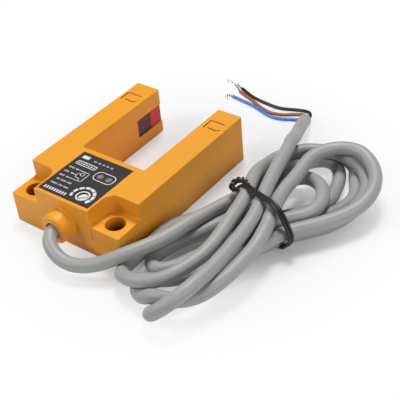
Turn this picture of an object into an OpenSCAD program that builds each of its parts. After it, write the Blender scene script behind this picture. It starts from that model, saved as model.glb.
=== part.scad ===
// Fork sensor: a slotted photoelectric sensor with mounting ears, a sensitivity trimmer and a tied cable.
// Millimetres. +Y runs along the arms to their tips, +Z is up, and the origin is under the middle of the body.

/* [Fork body] */
// Clear width between the two arms
slot_w = 30; // [28:1:50]
// Depth of the slot from the tips
slot_l = 46; // [36:1:70]
// Width of one arm
arm_w = 11; // [10:0.5:16]
// Length of the base behind the slot
base_l = 29; // [27:1:40]
// Height of the body
body_h = 20; // [19:0.5:28]
// Side wall of the moulding
wall = 1.8; // [1.4:0.1:2.2]
// Roof of the moulding
roof_t = 2; // [1.6:0.1:2.6]
// Thickness of the bottom cover
cover_t = 1.6; // [1.2:0.1:2.2]
// Radius of the upright outer edges
edge_r = 0.5; // [0.2:0.1:1]

/* [Mounting ears] */
// Width of an ear, in from the side
ear_w = 13; // [12:0.5:14]
// Length of an ear, in from the back
ear_l = 12.5; // [11:0.5:14]
// Height of an ear's upper face
ear_h = 13; // [9:0.5:15]
// Fillet of the upright corner above an ear
ear_corner_r = 4.5; // [2:0.5:5]
// Clearance hole for the mounting screw
bolt_d = 4.5; // [3.4:0.1:5.5]
// Counterbore for the screw head
head_d = 7.5; // [6.5:0.1:9]
// Depth of the counterbore
head_depth = 8; // [2:0.5:10]

/* [Cable outlet] */
// Outer diameter of the round outlet
boss_d = 11.6; // [10:0.2:13]
// Length of the outlet
boss_l = 6; // [4:0.5:10]
// Rounding of the outlet's mouth
boss_tip_r = 1.2; // [0.5:0.1:2]
// Fillet where the outlet meets the body
boss_root_r = 0.8; // [0.3:0.1:1.5]
// Bore of the outlet
outlet_d = 6.2; // [5.8:0.1:7]
// Diameter of the cable's jacket
cable_d = 5.2; // [4.6:0.1:5.4]
// Diameter of one insulated core
core_d = 1.5; // [1.2:0.1:1.6]
// Wall of the ferrule on the jacket
ferrule_t = 0.6; // [0.4:0.1:0.8]
// Length of the ferrule
ferrule_l = 2.2; // [1.5:0.1:3]

/* [Label and trimmer] */
// Thickness of the label, which is also the depth of its recess
label_t = 0.3; // [0.2:0.1:0.6]
// Yellow rim beside the label
label_side = 1; // [0.6:0.1:2]
// Yellow rim behind the label
label_back = 1.5; // [0.8:0.1:2.5]
// Yellow rim in front of the label
label_front = 2.5; // [1.5:0.1:4]
// Trimmer axis, to the right of the middle
trim_x = 5.6; // [4.8:0.1:6.4]
// Trimmer axis, in from the back
trim_y = 6.1; // [5.6:0.1:7.5]
// Side of the trimmer's square block
trim_block = 6.2; // [5.8:0.1:7]
// Hole for the trimmer in roof and label
trim_hole_d = 5.8; // [5.2:0.1:6.4]
// Diameter of the rotor
rotor_d = 4.2; // [3.4:0.1:4.4]
// How far the rotor's face lies below the label
rotor_drop = 1; // [0.6:0.1:1.6]
// How far the collar's face lies below the label
collar_drop = 0.3; // [0.2:0.1:1]
// Width of the screwdriver slot
slot_cut_w = 0.8; // [0.6:0.1:1.2]
// Depth of the screwdriver slot
slot_cut_d = 0.8; // [0.5:0.1:1.2]
// Direction of the screwdriver slot at rest
slot_cut_angle = 40; // [0:5:180]
// First indicator, to the right of the middle
lamp_x = 3.7; // [2.6:0.1:5]
// Pitch of the two indicators
lamp_pitch = 4; // [3.6:0.1:5]
// Indicators, in from the back
lamp_y = 17.7; // [14:0.1:20]
// Diameter of an indicator's lens
lamp_d = 2.7; // [1.8:0.1:3]

/* [Optics] */
// Length of a window, back from the tip
window_l = 15.2; // [12:0.2:18]
// Height of a window
window_h = 7.8; // [6:0.2:9]
// Height of the light path
axis_z = 9; // [8:0.5:10]
// Distance of the light path from the tips
axis_back = 7.2; // [6:0.1:9]
// How far a window's face lies behind the slot wall
window_recess = 0.6; // [0.2:0.1:1]
// Width of a window where it shows on the tip's end face
window_wrap = 3; // [2.4:0.1:4]
// Flange behind a window
flange_t = 1; // [0.6:0.1:1.4]
// Rim of that flange round the opening
flange_rim = 1; // [0.6:0.1:1.4]
// Diameter of a diode's lens
diode_d = 3; // [2.4:0.1:3.4]
// Thickness of every circuit board
board_t = 1.2; // [0.8:0.1:1.6]

/* [Clearances] */
// Between pieces that are pressed or glued together
fit_gap = 0.1; // [0.05:0.05:0.2]
// Between the rotor and its collar, on the radius
run_gap = 0.05; // [0.02:0.01:0.1]
// Between the main board and the walls round it
board_gap = 0.4; // [0.2:0.1:0.8]

/* [Hidden] */
$fn = 48;
eps = 0.01;

body_w = slot_w + 2 * arm_w;
body_l = base_l + slot_l;
rear_y = -(body_l - boss_l) / 2;
slot_y = rear_y + base_l;
tip_y = rear_y + body_l;
half_w = body_w / 2;
half_slot = slot_w / 2;

// Levels inside the body
cable_z = body_h / 2;
board_top = cable_z - core_d / 2;
board_bottom = board_top - board_t;
roof_z = body_h - roof_t;
ferrule_r = cable_d / 2 + run_gap + ferrule_t;
trim_floor = cable_z + ferrule_r + fit_gap;
trim_base_t = 1;

// Ears
ear_x = half_w - ear_w / 2;
ear_y = rear_y + ear_l / 2;

// Label
label_w = body_w - 2 * (ear_w + label_side);
label_l = base_l - label_back - label_front;
trim_pos = [trim_x, rear_y + trim_y];
lamp_a = [lamp_x, rear_y + lamp_y];
lamp_b = [lamp_x + lamp_pitch, rear_y + lamp_y];
lamp_hole_d = lamp_d + 2 * fit_gap;

// Optics, for the arm on the +X side
window_y = tip_y - window_l;
window_low = axis_z - window_h / 2;
window_back = half_slot + wall + flange_t;
window_end = 0.2;
lens_gap = 0.3;
holder_wall = 1.6;
axis_y = tip_y - axis_back;
arm_inside = half_w - wall;
arm_board_x = arm_inside - fit_gap - board_t;
diode_rim_t = 1;
diode_rim = 0.4;
diode_tip = window_back + lens_gap;
holder_side = diode_d + 2 * holder_wall;
arm_board_back = 7;
arm_board_rise = 5;

// Main board
wide_back = rear_y + ear_l + wall;
wide_front = slot_y - wall;
wide_mid = (wide_back + wide_front) / 2;
rear_half = half_w - ear_w - wall;
jacket_stub = 0.6;
jacket_in = wall + ferrule_l + jacket_stub;
notch_half = ferrule_r + board_gap;
post_d = 3;
post_inset = 2.4;
chip_x = -6;
transistor_x = -12;
guard_x = -15.5;
capacitor_x = 13;
ribbon_d = 1.1;
ribbon_pitch = 1;
ribbon_overlap = 3;

// Route of the cable from its inner end to the hank, and of its tail from the hank to the stripped end
lead_route = [
    [0, rear_y + jacket_in, cable_z], [0, rear_y, cable_z], [0, rear_y - boss_l, cable_z],
    [0.5, -43, 9.6], [3.5, -45.5, 8.2], [7.5, -46.8, 6.6], [12, -47, 5.5], [17, -45.5, 5.4],
    [22.5, -42.3, 6.4], [27.5, -37.9, 8], [31.5, -31.5, 9]
];
tail_route = [[44, 48.5, 10.2], [42, 53.5, 8.8], [38, 63.5, 5.8], [34.5, 72.8, 2.8]];

// Routes of the three stripped wires
black_route = [
    [35.4, 73.1, 2.6], [35.2, 75.4, 3], [33.6, 77.9, 2.6], [30.5, 79.5, 1.7], [26.8, 79.5, 1.1],
    [19, 77.4, 0.8], [12, 77.7, 0.8], [4, 79.2, 0.8], [-4, 82.6, 0.8]
];
brown_route = [
    [34.4, 72.7, 3.8], [33.5, 74.6, 3.2], [31.2, 76.4, 2], [26.2, 75.6, 0.9], [22.5, 73.6, 0.8],
    [17.5, 72.6, 0.8], [11.5, 74, 0.8], [5, 76.8, 0.8], [-3.5, 80.1, 0.8]
];
blue_route = [
    [33.6, 72.2, 2.1], [32.4, 73.4, 1.4], [30.6, 73.6, 0.8], [27.5, 72.3, 0.8], [23.5, 70.6, 0.8],
    [18.5, 70.3, 0.8], [8.5, 73.3, 0.8], [-4, 75.3, 0.8]
];

// Outer shape of the tied hank and of its tie
hank_h = 16;
hank_ring = [62, 35.5];
hank_ring_r = 25;
hank_end = [49, -33.5];
hank_end_r = 18.5;
hank_waist = [[31, -30], [38, 12.5], [38, 36], [86, 29], [70, 1.5], [67, -30]];
tie_middle = [54, 7];
tie_angle = -19;
tie_span = 33.8;
tie_strip_w = 2.6;
tie_strip_t = 1.2;
tie_knot = [41, 11.5, hank_h + tie_strip_t / 2];
tie_knot_r = 2;
tie_knot_h = 2.6;
tube_sides = 10;
wire_sides = 8;

// Shared shapes

// A box from its low corner to its high corner
module span_box(low, high) {
    translate(low) cube(high - low);
}

// Both sides of the body, from a shape drawn on the +X side
module both_sides() {
    children();
    mirror([1, 0, 0]) children();
}

// Waste outside a rounded corner: the corner lies at the origin and the material in the first quadrant
module corner_waste(r) {
    difference() {
        translate([-eps, -eps]) square(r + eps);
        translate([r, r]) circle(r);
    }
}

// Plan of the U, with rounded outer edges
module fork_plan() {
    difference() {
        translate([-half_w, rear_y]) square([body_w, body_l]);
        translate([-half_slot, slot_y]) square([slot_w, slot_l + eps]);
        both_sides() {
            translate([half_w, rear_y]) mirror([1, 0]) corner_waste(edge_r);
            translate([half_w, tip_y]) rotate(180) corner_waste(edge_r);
            translate([half_slot, tip_y]) mirror([0, 1]) corner_waste(edge_r);
        }
    }
}

// Plan of the hollow, inset by d from every outer wall; the ears stay solid
module hollow_plan(d) {
    translate([-(half_w - ear_w - d), rear_y + d])
        square([2 * (half_w - ear_w - d), base_l - 2 * d]);
    translate([-(half_w - d), rear_y + ear_l + d])
        square([2 * (half_w - d), base_l - ear_l - 2 * d]);
    both_sides() translate([half_slot + d, rear_y + ear_l + d])
        square([arm_w - 2 * d, body_l - ear_l - 2 * d]);
}

// Plan of the space above one ear, with its filleted inner corner
module ear_notch_plan() {
    translate([half_w - ear_w, rear_y - eps]) difference() {
        square([ear_w + eps, ear_l + eps]);
        translate([0, ear_l + eps]) mirror([0, 1]) corner_waste(ear_corner_r);
    }
}

// Section of the cable outlet, with its root at y = 0
module boss_section() {
    r = boss_d / 2;
    square([r, boss_l - boss_tip_r]);
    square([r - boss_tip_r, boss_l]);
    translate([r - boss_tip_r, boss_l - boss_tip_r]) circle(boss_tip_r);
    translate([r, 0]) corner_waste(boss_root_r);
}

// A cylinder along +Y from a point
module rod_y(from, d, l) {
    translate(from) rotate([-90, 0, 0]) cylinder(d = d, h = l);
}

// Sweep of a round section along a list of points
function unit(v) = v / norm(v);
function along(p, i) = unit(p[min(i + 1, len(p) - 1)] - p[max(i - 1, 0)]);
function across(t) = unit(cross(t, [0, 0, 1]));
function ring(c, t, r, n) = [
    for (k = [0 : n - 1]) c + r * (cos(360 * k / n) * across(t) + sin(360 * k / n) * cross(across(t), t))
];
module swept_tube(route, r, n) {
    count = len(route);
    points = [for (i = [0 : count - 1]) each ring(route[i], along(route, i), r, n)];
    sides = [
        for (i = [0 : count - 2], k = [0 : n - 1])
            let (a = i * n + k, b = i * n + (k + 1) % n)
                each [[a, b, b + n], [a, b + n, a + n]]
    ];
    first = [for (k = [n - 1 : -1 : 0]) k];
    last = [for (k = [0 : n - 1]) (count - 1) * n + k];
    polyhedron(points, concat([first], sides, [last]));
}

// Housing and what closes it

module housing() color("orange") {
    difference() {
        union() {
            linear_extrude(body_h) fork_plan();
            translate([0, rear_y, cable_z]) rotate([90, 0, 0]) rotate_extrude() boss_section();
        }
        both_sides() {
            translate([0, 0, ear_h]) linear_extrude(body_h) ear_notch_plan();
            translate([ear_x, ear_y, -eps]) cylinder(d = bolt_d, h = body_h);
            translate([ear_x, ear_y, ear_h - head_depth]) cylinder(d = head_d, h = body_h);
            window_opening();
        }
        translate([0, 0, cover_t - eps]) linear_extrude(roof_z - cover_t + eps) hollow_plan(wall);
        translate([0, 0, -eps]) linear_extrude(cover_t + eps) hollow_plan(wall / 2);
        rod_y([0, rear_y - boss_l - eps, cable_z], outlet_d, boss_l + wall + 2 * eps);
        translate([0, rear_y + label_back + label_l / 2, body_h - label_t])
            linear_extrude(label_t + eps) square([label_w + 2 * fit_gap, label_l + 2 * fit_gap], center = true);
        roof_holes(roof_z - eps, body_h);
    }
}

// Holes for the trimmer and the indicators between two levels
module roof_holes(low, high) {
    translate([trim_pos.x, trim_pos.y, low]) cylinder(d = trim_hole_d, h = high - low + eps);
    for (p = [lamp_a, lamp_b])
        translate([p.x, p.y, low]) cylinder(d = lamp_hole_d, h = high - low + eps);
}

// Opening for one window: through the slot wall, and out through the tip's end face
module window_opening() {
    span_box([half_slot - eps, window_y, window_low], [half_slot + wall + eps, tip_y + eps, window_low + window_h]);
    span_box(
        [half_slot - eps, tip_y - wall - eps, window_low],
        [half_slot + window_wrap, tip_y + eps, window_low + window_h]
    );
}

module bottom_cover() color("darkorange") {
    linear_extrude(cover_t) hollow_plan(wall / 2 + fit_gap);
    both_sides() {
        cover_post([rear_half - post_inset, rear_y + wall + post_inset]);
        cover_post([arm_inside - post_inset - post_d, wide_mid]);
    }
}

// A post of the cover that carries the main board
module cover_post(at) {
    translate([at.x, at.y, cover_t - eps]) cylinder(d = post_d, h = board_bottom - cover_t + eps);
}

module label() color("dimgray") {
    difference() {
        translate([0, rear_y + label_back + label_l / 2, body_h - label_t])
            linear_extrude(label_t) square([label_w, label_l], center = true);
        roof_holes(body_h - label_t - eps, body_h);
    }
}

// Trimmer and indicators

module trimmer_body() color("ivory") {
    block_h = roof_z - fit_gap - trim_floor;
    pin_d = 0.6;
    pin_reach = trim_block / 4;
    difference() {
        union() {
            translate([trim_pos.x - trim_block / 2, trim_pos.y - trim_block / 2, trim_floor])
                cube([trim_block, trim_block, block_h]);
            translate([trim_pos.x, trim_pos.y, trim_floor])
                cylinder(d = trim_hole_d - 2 * fit_gap, h = body_h - collar_drop - trim_floor);
            for (p = [[-1, -1], [1, -1], [1, 1]])
                translate([trim_pos.x + p.x * pin_reach, trim_pos.y + p.y * pin_reach, board_top])
                    cylinder(d = pin_d, h = trim_floor - board_top + eps);
        }
        translate([trim_pos.x, trim_pos.y, trim_floor + trim_base_t])
            cylinder(d = rotor_d + 2 * run_gap, h = body_h);
    }
}

module trimmer_rotor() color("linen") {
    low = trim_floor + trim_base_t + run_gap;
    top = body_h - rotor_drop;
    translate([trim_pos.x, trim_pos.y, 0]) difference() {
        translate([0, 0, low]) cylinder(d = rotor_d, h = top - low);
        rotate(slot_cut_angle) translate([-rotor_d, -slot_cut_w / 2, top - slot_cut_d])
            cube([2 * rotor_d, slot_cut_w, slot_cut_d + eps]);
    }
}

// A lamp on the main board with its lens in the label
module indicator(at) {
    rim_t = 1;
    rim = 0.4;
    lens_drop = 0.05;
    translate([at.x, at.y, board_top]) {
        cylinder(d = lamp_d + 2 * rim, h = rim_t);
        cylinder(d = lamp_d, h = body_h - lens_drop - board_top);
    }
}

module power_indicator() color("gray") indicator(lamp_a);

module output_indicator() color("gray") indicator(lamp_b);

// Optics of one arm

// A window: the plug in the slot wall, its leg in the tip's end face and the flange glued behind
module arm_window() {
    low = window_low + fit_gap;
    high = window_low + window_h - fit_gap;
    face = half_slot + window_recess;
    end = tip_y - window_end;
    span_box([face, window_y + fit_gap, low], [half_slot + wall + eps, end, high]);
    span_box([face, tip_y - wall - fit_gap, low], [half_slot + window_wrap - fit_gap, end, high]);
    span_box(
        [half_slot + wall, window_y - flange_rim, window_low - flange_rim],
        [window_back, tip_y - wall - fit_gap, window_low + window_h + flange_rim]
    );
}

module emitter_window() color("crimson") arm_window();

module receiver_window() color("crimson") mirror([1, 0, 0]) arm_window();

// A block that holds the diode square to the window
module arm_holder() {
    depth = arm_board_x - diode_rim_t - window_back;
    translate([window_back, axis_y, axis_z]) rotate([0, 90, 0]) difference() {
        translate([-holder_side / 2, -holder_side / 2, 0]) cube([holder_side, holder_side, depth]);
        translate([0, 0, -eps]) cylinder(d = diode_d + 2 * fit_gap, h = depth + 2 * eps);
    }
}

module emitter_holder() color("black") arm_holder();

module receiver_holder() color("black") mirror([1, 0, 0]) arm_holder();

// A round-nosed diode that stands on its board and looks at the window
module arm_diode() {
    r = diode_d / 2;
    translate([arm_board_x, axis_y, axis_z]) rotate([0, -90, 0]) {
        cylinder(d = diode_d + 2 * diode_rim, h = diode_rim_t);
        cylinder(r = r, h = arm_board_x - diode_tip - r);
        translate([0, 0, arm_board_x - diode_tip - r]) sphere(r);
    }
}

module emitter_diode() color("lightblue") arm_diode();

module receiver_diode() color("black") mirror([1, 0, 0]) arm_diode();

// The upright board in an arm, standing on the bottom cover
module arm_board() {
    span_box(
        [arm_board_x, axis_y - arm_board_back, cover_t],
        [arm_board_x + board_t, tip_y - wall - fit_gap, axis_z + arm_board_rise]
    );
}

module emitter_board() color("seagreen") arm_board();

module receiver_board() color("seagreen") mirror([1, 0, 0]) arm_board();

// Two insulated leads side by side, from the main board along the arm to the arm's board
module arm_leads() {
    start = wide_front - board_gap - ribbon_overlap;
    run = axis_y - arm_board_back + ribbon_overlap - start;
    for (k = [0, 1])
        rod_y([arm_board_x - ribbon_d / 2, start, board_top + ribbon_d / 2 + k * ribbon_pitch], ribbon_d, run);
}

module emitter_leads() color("firebrick") arm_leads();

module receiver_leads() color("firebrick") mirror([1, 0, 0]) arm_leads();

// Main board and what stands on it

module main_board() color("darkgreen") {
    translate([0, 0, board_bottom]) linear_extrude(board_t) difference() {
        union() {
            translate([-(arm_inside - board_gap), wide_back + board_gap])
                square([2 * (arm_inside - board_gap), wide_front - wide_back - 2 * board_gap]);
            translate([-(rear_half - board_gap), rear_y + wall + board_gap])
                square([2 * (rear_half - board_gap), ear_l]);
        }
        translate([-notch_half, rear_y]) square([2 * notch_half, jacket_in + board_gap]);
    }
}

// A flat package with a row of bent legs along each long side
module flat_package(size, legs, pitch) {
    leg_w = 0.4;
    leg_t = 0.2;
    leg_reach = 0.9;
    span_box([-size.x / 2, -size.y / 2, leg_t], [size.x / 2, size.y / 2, size.z]);
    for (k = [0 : legs - 1])
        translate([(k - (legs - 1) / 2) * pitch - leg_w / 2, -size.y / 2 - leg_reach, 0])
            cube([leg_w, size.y + 2 * leg_reach, leg_t + eps]);
}

module amplifier_chip() color("black")
    translate([chip_x, wide_mid, board_top]) flat_package(size = [5, 4, 1.6], legs = 4, pitch = 1.27);

module output_transistor() color("black")
    translate([transistor_x, wide_mid, board_top]) flat_package(size = [3, 1.8, 1.2], legs = 2, pitch = 1.9);

module filter_capacitor() color("silver") {
    can_d = 4;
    can_h = 5.4;
    base_t = 0.4;
    translate([capacitor_x, wide_mid, board_top]) {
        translate([-can_d / 2, -can_d / 2, 0]) cube([can_d, can_d, base_t]);
        cylinder(d = can_d - 2 * fit_gap, h = can_h);
    }
}

module protection_diode() color("dimgray") {
    case_d = 1.8;
    case_l = 3.6;
    rod_y([guard_x, wide_mid - case_l / 2, board_top + case_d / 2], case_d, case_l);
}

// Cable inside the housing

module inner_cores() color("peru")
    for (k = [-1 : 1])
        rod_y([k * (core_d + fit_gap), rear_y + jacket_in, cable_z], core_d, ear_l - jacket_in + ferrule_l);

module cable_ferrule() color("silver")
    translate([0, rear_y + wall, cable_z]) rotate([-90, 0, 0]) difference() {
        cylinder(r = ferrule_r, h = ferrule_l);
        translate([0, 0, -eps]) cylinder(r = cable_d / 2 + run_gap, h = ferrule_l + 2 * eps);
    }

// Cable outside: lead, tied hank, tail and stripped wires

module cable_lead() color("darkgray") swept_tube(lead_route, cable_d / 2, tube_sides);

module cable_hank() color("darkgray") {
    translate([hank_ring.x, hank_ring.y, 0]) cylinder(r = hank_ring_r, h = hank_h);
    translate([hank_end.x, hank_end.y, 0]) cylinder(r = hank_end_r, h = hank_h);
    linear_extrude(hank_h) polygon(hank_waist);
}

module cable_tail() color("darkgray") swept_tube(tail_route, cable_d / 2, tube_sides);

module brown_wire() color("saddlebrown") swept_tube(brown_route, core_d / 2, wire_sides);

module blue_wire() color("royalblue") swept_tube(blue_route, core_d / 2, wire_sides);

module black_wire() color("black") swept_tube(black_route, core_d / 2, wire_sides);

module twist_tie() color("black") {
    out = [tie_span + 2 * tie_strip_t, hank_h + tie_strip_t];
    translate([tie_middle.x, tie_middle.y, 0]) rotate(tie_angle) rotate([90, 0, 0])
        translate([0, 0, -tie_strip_w / 2]) linear_extrude(tie_strip_w) difference() {
            translate([-out.x / 2, 0]) square(out);
            translate([-tie_span / 2, tie_strip_t]) square([tie_span, hank_h - tie_strip_t]);
        }
    translate(tie_knot) cylinder(r = tie_knot_r, h = tie_knot_h);
}

housing();
bottom_cover();
label();
trimmer_body();
trimmer_rotor();
power_indicator();
output_indicator();
emitter_window();
receiver_window();
emitter_holder();
receiver_holder();
emitter_diode();
receiver_diode();
emitter_board();
receiver_board();
emitter_leads();
receiver_leads();
main_board();
amplifier_chip();
output_transistor();
filter_capacitor();
protection_diode();
inner_cores();
cable_ferrule();
cable_lead();
cable_hank();
cable_tail();
brown_wire();
blue_wire();
black_wire();
twist_tie();
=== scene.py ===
"""Dressed model of a fork sensor with its tied cable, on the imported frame, laid out as an add-on."""
from typing import NamedTuple

import bmesh
import bpy
import numpy as np
from bpy.props import FloatProperty, FloatVectorProperty, PointerProperty
from mathutils import Matrix, Vector


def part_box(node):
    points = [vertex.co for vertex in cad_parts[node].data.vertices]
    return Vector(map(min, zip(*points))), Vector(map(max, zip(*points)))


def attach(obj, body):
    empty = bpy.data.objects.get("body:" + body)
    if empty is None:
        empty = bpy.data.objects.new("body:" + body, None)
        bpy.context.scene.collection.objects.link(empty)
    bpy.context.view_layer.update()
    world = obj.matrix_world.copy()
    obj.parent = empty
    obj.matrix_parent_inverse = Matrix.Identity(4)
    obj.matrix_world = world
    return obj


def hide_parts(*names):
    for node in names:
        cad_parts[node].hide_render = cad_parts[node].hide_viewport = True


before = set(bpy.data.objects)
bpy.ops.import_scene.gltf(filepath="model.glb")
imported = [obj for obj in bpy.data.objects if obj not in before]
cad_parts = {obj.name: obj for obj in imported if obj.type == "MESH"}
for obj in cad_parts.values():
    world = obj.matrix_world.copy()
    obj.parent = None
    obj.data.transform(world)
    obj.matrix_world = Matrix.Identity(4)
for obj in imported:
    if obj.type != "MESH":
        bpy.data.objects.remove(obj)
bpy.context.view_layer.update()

bl_info = {
    "name": "Fork Sensor",
    "version": (1, 0, 0),
    "blender": (4, 5, 0),
    "location": "View3D > Sidebar > Fork Sensor",
    "description": "Builds the housing, label, cable and stage of a fork sensor",
    "category": "Object",
}

MM = 0.001
LABEL_LOW, LABEL_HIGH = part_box("label")
HOUSING_LOW, HOUSING_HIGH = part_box("housing")
TRIMMER = sum(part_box("trimmer_rotor"), Vector()) / 2

# The arms' inner faces lie this far from the middle
ARM_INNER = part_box("emitter_window")[0].x

# Faces that meet at a larger angle than this, in degrees, keep a sharp edge
SHARP_ANGLE = 32

# Length in metres over which a surface's own coordinate grows by one
PATTERN_LENGTH = 0.01

# The cable's lead repeats the source's route up to its eleventh point, and then joins the hank
LEAD = [
    (0, -29.9, 10), (0, -34.5, 10), (0, -40.5, 10), (0.5, -43, 9.6), (3.5, -45.5, 8.2), (7.5, -46.8, 6.6),
    (12, -47, 5.5), (17, -45.5, 5.4), (22.5, -42.3, 6.4), (27.5, -37.9, 8), (31.5, -31.5, 9),
    (35.2, -23.5, 9), (37.4, -14.5, 8.8), (39.4, -5.5, 8.4), (41.6, 3.5, 8), (44.2, 11.5, 7.8),
    (47.2, 19, 7.6),
]
SHORT_FOLD = [
    (67.4, 22.8, 2.6), (63.8, 18, 2.6), (60.4, 13.4, 2.6), (57.2, 9.4, 2.6), (54.4, 6.2, 2.7),
    (52.2, 3.2, 3), (51.2, -0.2, 4.4), (51.8, -3.4, 6.4), (54.2, -5.4, 7.7), (57.3, -4.2, 7.8),
    (59.3, -0.2, 7.7), (61.4, 4.8, 7.6), (64.6, 9.8, 7.5),
]
INNER_FOLD = [
    (49.8, 14, 3), (47.4, 7, 4), (44, -3, 4.8), (39.6, -12, 4.6), (36, -19.4, 3.4), (34.5, -23.5, 2.8),
    (34, -27.4, 2.7), (35.9, -30.5, 2.7), (39.5, -30.7, 2.6), (42.4, -27.9, 2.6), (47, -17.6, 2.6),
    (52.2, -8.2, 2.6), (57, -1.4, 2.6), (60.8, 5, 2.6), (64.4, 10.9, 2.6), (67.9, 15.5, 2.6),
    (71.4, 20.1, 2.6), (75, 26.2, 2.6),
]
LEFT_FOLD = [
    (42.5, 12.3, 2.6), (38.4, 4.5, 2.8), (33.8, -3, 3.2), (30.4, -9.5, 3.6), (29, -16.5, 3.6),
    (28.8, -23.5, 3.2), (28.8, -30, 2.9), (28.8, -36, 3.3), (31.4, -40.6, 5.3), (37, -43.1, 7.4),
    (44.5, -42.3, 8.8), (49.3, -38.3, 10), (52.2, -31.7, 10.8),
    (54.2, -23.9, 11.4), (53.8, -14.4, 12), (52.6, -6.5, 12.4), (51.3, 0.4, 12.6), (49.5, 8.5, 12.7),
    (47.1, 15.2, 12.5), (43.7, 24.5, 11),
]
MIDDLE_FOLD = [
    (80, 25.8, 3.4), (75.4, 17.6, 2.6), (71.8, 12.9, 2.6), (68.3, 8.4, 2.6), (64.6, 1.6, 2.6),
    (61, -7.2, 2.6), (56.6, -16.4, 2.6), (51.6, -25, 2.6), (46.4, -31.6, 2.6), (41, -35.7, 2.6),
    (37.4, -38, 2.6), (38.4, -41.5, 2.7), (41.8, -43.6, 3.6), (46.4, -45.4, 5.6),
    (51.7, -44.9, 7.2), (56.3, -43.3, 7.6), (60.9, -39.9, 8), (64, -33.6, 8.6), (65.9, -26.5, 9.6),
    (66.6, -17.5, 10.4), (66.2, -8.5, 11), (64.9, -1.9, 11.2), (60.8, 10.5, 11.6), (58.7, 18, 11.2),
]
TOP_FOLD = [
    (78.4, 15.5, 7.9), (71.3, 6.5, 7.5), (66.2, -1.4, 7.2), (63.4, -10, 5.4), (61, -19.6, 3.4),
    (57.5, -30.5, 2.6), (53.6, -39.5, 2.6), (50.5, -46, 2.8), (51.2, -49.8, 4.6), (55, -51.4, 8),
    (58.4, -48.7, 11.2), (60.6, -42.5, 12.8), (61.7, -34.5, 13), (61.4, -23.5, 12.8),
    (60.6, -14, 12.6), (59.5, -4.8, 12.6), (58.2, 2, 12.8), (55, 11.8, 13.2), (52.5, 19.6, 13),
]
TAIL = [
    (49.8, 29.3, 13.2), (47.6, 38.4, 13), (44.9, 46.4, 11.9), (42, 53.5, 8.8), (38, 63.5, 5.8),
    (34.5, 72.8, 2.8),
]

# Depth of the hollow in the cable's cut end, in millimetres
HOLLOW_DEPTH = 1.2


class Turn(NamedTuple):
    """One turn of the hank's ring, an ellipse in plan: millimetres, degrees and heights."""

    centre: tuple
    half_axes: tuple
    tilt: float
    first_angle: float
    last_angle: float
    first_height: float
    last_height: float
    dip: float


SECOND_TURN = Turn((58.6, 27), (11.6, 25.9), 1.8, 175, 1, 5.4, 2.6, 1.4)
INNER_TURN = Turn((61.3, 23.4), (9.4, 13.1), 24.1, -62, 159, 7.6, 3, -1.2)
THIRD_TURN = Turn((59.3, 30.1), (18.6, 28.2), 6.8, 4, 178, 2.6, 2.6, 0)
WIDE_TURN = Turn((61.7, 34.6), (19.8, 17.9), 9.7, 171, -16, 7.6, 4.8, -0.9)
TOP_TURN = Turn((71.1, 35.2), (13.8, 17.3), 22.1, 171, -57, 11.2, 8.4, -2.2)
TURN_POINTS = 14

# The three wires' routes repeat the source's, and the bare strands carry on from them
WIRE_ROUTES = {
    "black_wire": [
        (35.4, 73.1, 2.6), (35.2, 75.4, 3), (33.6, 77.9, 2.6), (30.5, 79.5, 1.7), (26.8, 79.5, 1.1),
        (19, 77.4, 0.8), (12, 77.7, 0.8), (4, 79.2, 0.8), (-4, 82.6, 0.8),
    ],
    "brown_wire": [
        (34.4, 72.7, 3.8), (33.5, 74.6, 3.2), (31.2, 76.4, 2), (26.2, 75.6, 0.9), (22.5, 73.6, 0.8),
        (17.5, 72.6, 0.8), (11.5, 74, 0.8), (5, 76.8, 0.8), (-3.5, 80.1, 0.8),
    ],
    "blue_wire": [
        (33.6, 72.2, 2.1), (32.4, 73.4, 1.4), (30.6, 73.6, 0.8), (27.5, 72.3, 0.8), (23.5, 70.6, 0.8),
        (18.5, 70.3, 0.8), (8.5, 73.3, 0.8), (-4, 75.3, 0.8),
    ],
}
STRAND_ROUTES = {
    "black_wire": [(-3, 82.2, 0.8), (-5.9, 83.6, 0.6), (-8.1, 85.2, 0.5)],
    "brown_wire": [
        (-2.6, 79.8, 0.8), (-4.9, 81.5, 0.6), (-8.6, 84, 0.5), (-11.9, 85.2, 0.5), (-14, 85.4, 0.5),
    ],
    "blue_wire": [
        (-3, 75.2, 0.8), (-5.1, 75.5, 0.6), (-6.8, 75.6, 0.5), (-6.9, 74.4, 0.5), (-5.2, 72.9, 0.5),
    ],
}

# The twisted ends of the tie, from the loop down to the lead
KNOT_ROUTE = [
    (49.2, 10.2, 16.3), (46.8, 11.4, 16.5), (44.8, 11.8, 15.8), (43.3, 10.8, 15), (43.1, 9.1, 14.2),
    (44.5, 8.2, 13.6),
]

# The tie's plane stands upright through this point, turned by this many degrees
TIE_MIDDLE = (55, 7.8)
TIE_TURN = -20

# The loop isn't pulled tight: how far it stands off in millimetres, and where on its round, in degrees
TIE_SWELL = 3
TIE_SWELL_ANGLE = 29
TIE_SWELL_SPREAD = 34

# Engraved marks of one arm, from the arm's left edge and from the tip
MARK_LINES = [
    [(8.4, 7.8), (1.6, 7.8), (1.6, 13.2)],
    [(3.4, 12.4), (5.8, 12.6), (6.6, 12.8), (8.6, 11.8)],
]

# The engraved lines stay this far inside an arm's edges and reach this far from its tip, in metres
MARK_INSET = 0.0008
MARK_REACH = 0.016

# Axis of the screw holes, seen from above: to either side of the middle, and along the body
SCREW_HOLE = (19.5, -28.25)

# Fine mould line on the end face below the near ear's inner corner
MOULD_LINE = [(13.3, -34.5, 13.2), (13.3, -34.5, 7.4)]

# Camera fitted to the corners of the housing in the picture: degrees and millimetres
CAMERA_AZIMUTH = 40.339
CAMERA_ELEVATION = 38.263
CAMERA_ROLL = -5.954
CAMERA_LENS = 83.74977
CAMERA_DISTANCE = 360.146
CAMERA_TARGET = (22.544, 14.871, -4.787)

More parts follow.
